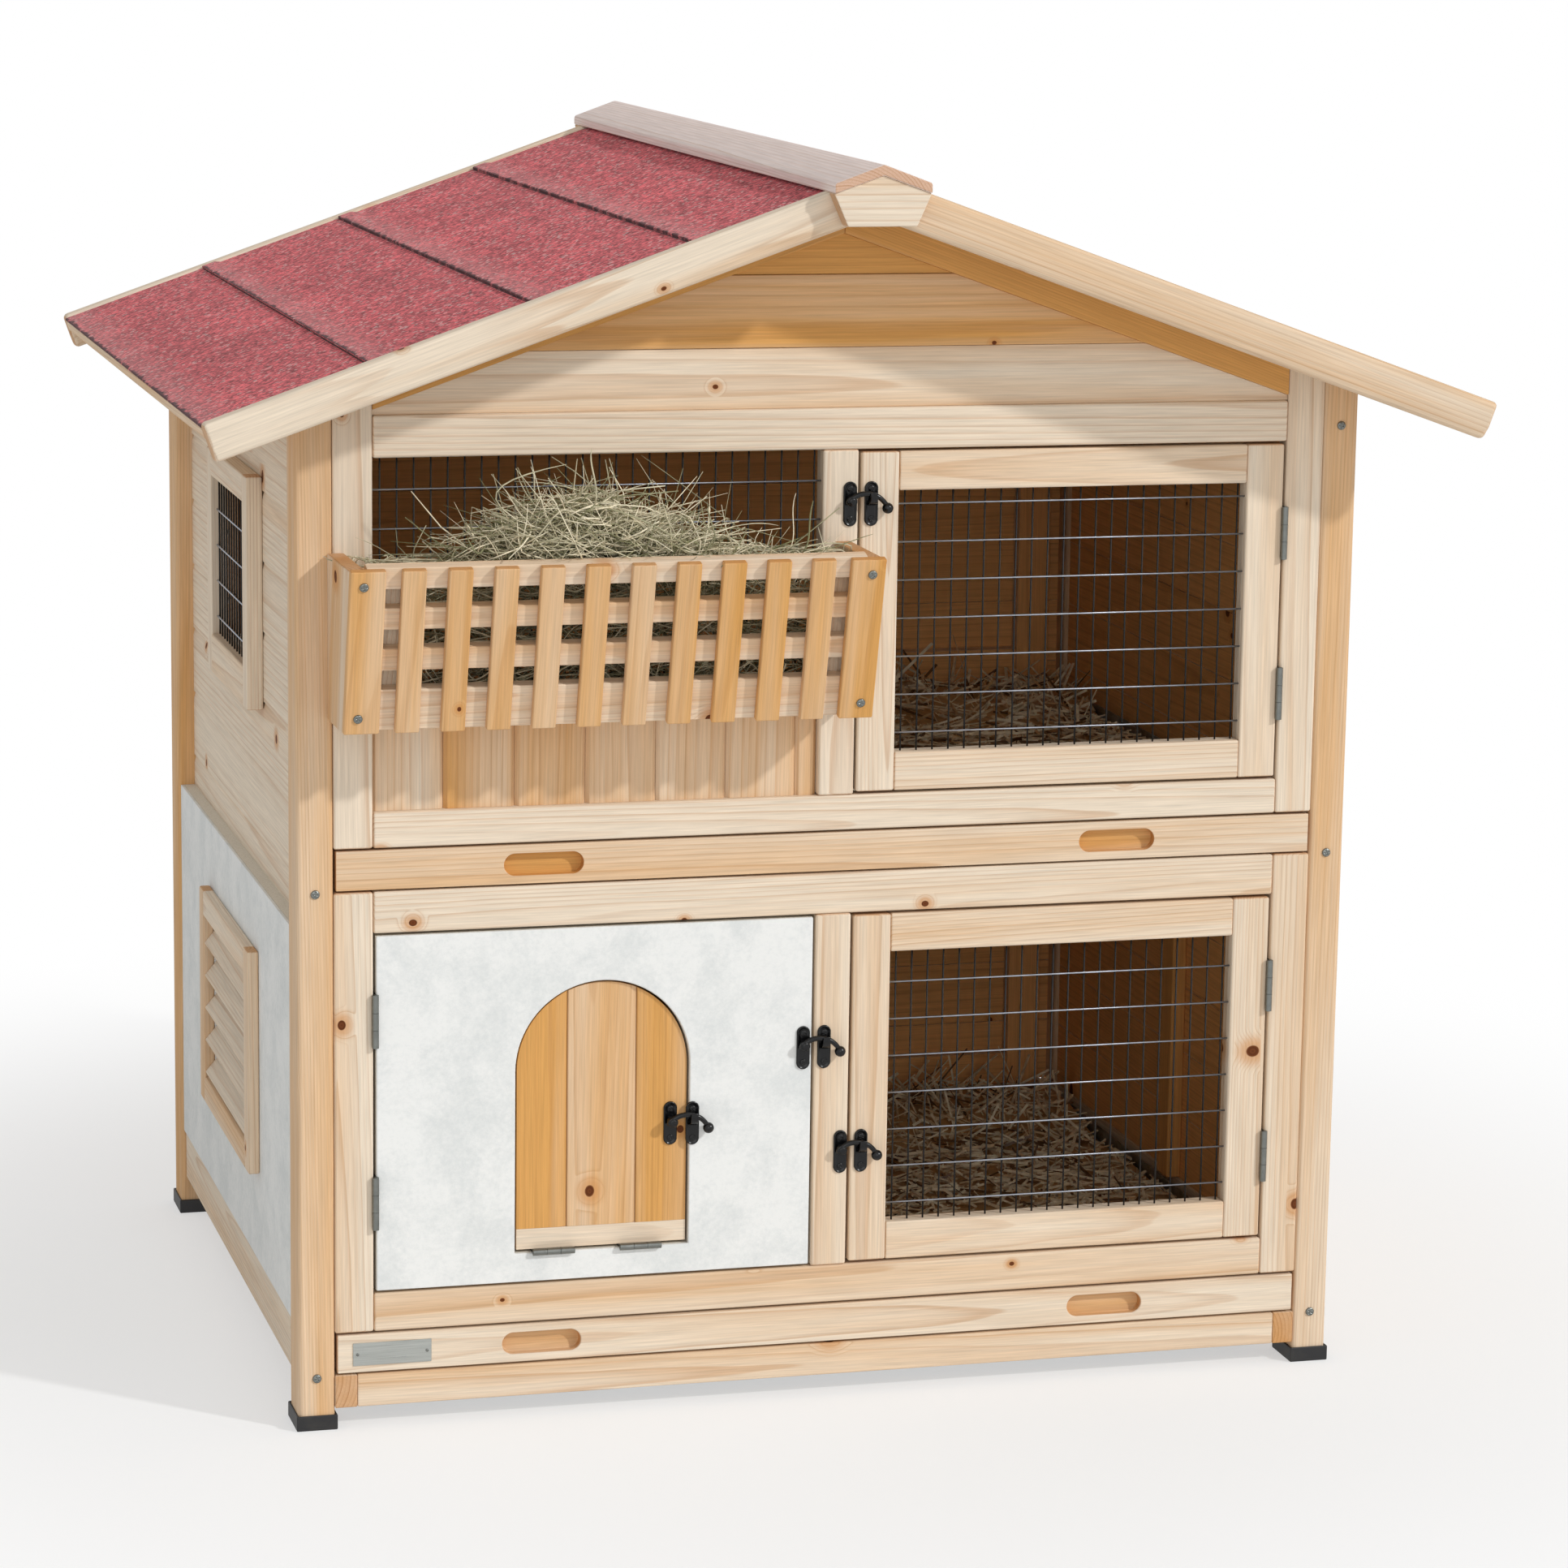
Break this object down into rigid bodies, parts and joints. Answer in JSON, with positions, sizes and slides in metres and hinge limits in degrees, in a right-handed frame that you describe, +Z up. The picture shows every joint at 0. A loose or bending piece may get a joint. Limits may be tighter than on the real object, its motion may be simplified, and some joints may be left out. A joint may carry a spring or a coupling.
{
  "type": "rabbit hutch",
  "caption": "Two-storey timber rabbit hutch with felted apex roof, wire doors, insulated nest door with arched flap, pull-out litter trays, hay rack and hook latches.",
  "frame": {"origin": "on the ground under the centre of the hutch, where the foot caps rest", "axes": "+X to the right seen from the front, +Y to the back, +Z up; the doors and the hay rack face -Y"},
  "size_m": [1.1634, 1.01, 1.13],
  "materials": {
    "pine": "planed, bare",
    "pine_post": "planed, heartwood",
    "cement_look_board": "matt, mottled",
    "insulation_core": "matt foam",
    "roofing_felt": "mineral granules on bitumen",
    "galvanised_wire": "galvanised",
    "galvanised_sheet": "galvanised",
    "zinc_steel": "zinc plated",
    "black_steel": "gloss black",
    "black_plastic": "matt",
    "brushed_plate": "brushed"
  },
  "bodies": {
    "carcass": {"corner_posts": "pine_post", "foot_caps": "black_plastic", "base_rails": "pine", "tray_bearers": "pine", "lower_front_frame": "pine", "upper_front_frame": "pine", "apron_boards": "pine", "front_window_mesh": "galvanised_wire", "gable_boards": "pine", "left_wall_boards": "pine", "right_wall_boards": "pine", "back_wall_boards": "pine", "back_frame": "pine", "side_panel_skin": "cement_look_board", "side_panel_core": "insulation_core", "side_window_frame": "pine", "side_window_mesh": "galvanised_wire", "vent_frame": "pine", "vent_slats": "pine", "wall_batten": "pine", "divider_panel": "pine", "roof_panels": "pine", "roof_felt": "roofing_felt", "front_bargeboards": "pine", "back_bargeboards": "pine", "ridge_cap": "pine", "ridge_blocks": "pine", "roof_battens": "pine", "rack_cheeks": "pine_post", "rack_rails": "pine", "rack_slats": "pine_post", "carcass_screws": "zinc_steel", "fixed_hinge_leaves": "zinc_steel", "door_hinge_pins": "zinc_steel", "stile_latch_plates": "black_steel"},
    "upper_door": {"upper_door_frame": "pine", "upper_door_mesh": "galvanised_wire", "upper_door_hinge_leaves": "zinc_steel", "upper_door_keeper": "black_steel"},
    "lower_door": {"lower_door_frame": "pine", "lower_door_mesh": "galvanised_wire", "lower_door_hinge_leaves": "zinc_steel", "lower_door_keeper": "black_steel"},
    "insulated_door": {"insulated_door_skins": "cement_look_board", "insulated_door_core": "insulation_core", "insulated_door_hinge_leaves": "zinc_steel", "flap_hinge_pins": "zinc_steel", "insulated_door_latch_plates": "black_steel"},
    "flap": {"flap_boards": "pine_post", "flap_hinge_leaves": "zinc_steel", "flap_latch_plate": "black_steel"},
    "upper_tray": {"upper_tray_front": "pine", "upper_tray_pan": "galvanised_sheet"},
    "lower_tray": {"lower_tray_front": "pine", "lower_tray_pan": "galvanised_sheet", "badge_plate": "brushed_plate"},
    "upper_door_latch": {"upper_door_hook": "black_steel"},
    "lower_door_latch": {"lower_door_hook": "black_steel"},
    "insulated_door_latch": {"insulated_door_hook": "black_steel"},
    "flap_latch": {"flap_hook": "black_steel"}
  },
  "joints": [
    {"name": "upper_door_hinge", "type": "hinge", "parent": "carcass", "child": "upper_door", "pos_m": [0.41875, -0.388, 0.714], "axis": [0, 0, 1], "range_deg": [0, 110]},
    {"name": "lower_door_hinge", "type": "hinge", "parent": "carcass", "child": "lower_door", "pos_m": [0.41875, -0.388, 0.2845], "axis": [0, 0, 1], "range_deg": [0, 110]},
    {"name": "insulated_door_hinge", "type": "hinge", "parent": "carcass", "child": "insulated_door", "pos_m": [-0.41875, -0.388, 0.29], "axis": [0, 0, -1], "range_deg": [0, 110]},
    {"name": "flap_hinge", "type": "hinge", "parent": "insulated_door", "child": "flap", "pos_m": [-0.217, -0.388, 0.15325], "axis": [1, 0, 0], "range_deg": [0, 125]},
    {"name": "upper_tray_slide", "type": "slide", "parent": "carcass", "child": "upper_tray", "axis": [0, -1, 0], "range_m": [0, 0.5]},
    {"name": "lower_tray_slide", "type": "slide", "parent": "carcass", "child": "lower_tray", "axis": [0, -1, 0], "range_m": [0, 0.5]},
    {"name": "upper_door_latch", "type": "hinge", "parent": "carcass", "child": "upper_door_latch", "pos_m": [0.0085, -0.3923, 0.826], "axis": [0, -1, 0], "range_deg": [0, 100]},
    {"name": "lower_door_latch", "type": "hinge", "parent": "carcass", "child": "lower_door_latch", "pos_m": [0.0093, -0.3923, 0.233], "axis": [0, -1, 0], "range_deg": [0, 100]},
    {"name": "insulated_door_latch", "type": "hinge", "parent": "insulated_door", "child": "insulated_door_latch", "pos_m": [-0.027, -0.3923, 0.332], "axis": [0, -1, 0], "range_deg": [0, 100]},
    {"name": "flap_latch", "type": "hinge", "parent": "flap", "child": "flap_latch", "pos_m": [-0.149, -0.3923, 0.2675], "axis": [0, -1, 0], "range_deg": [0, 100]}
  ]
}
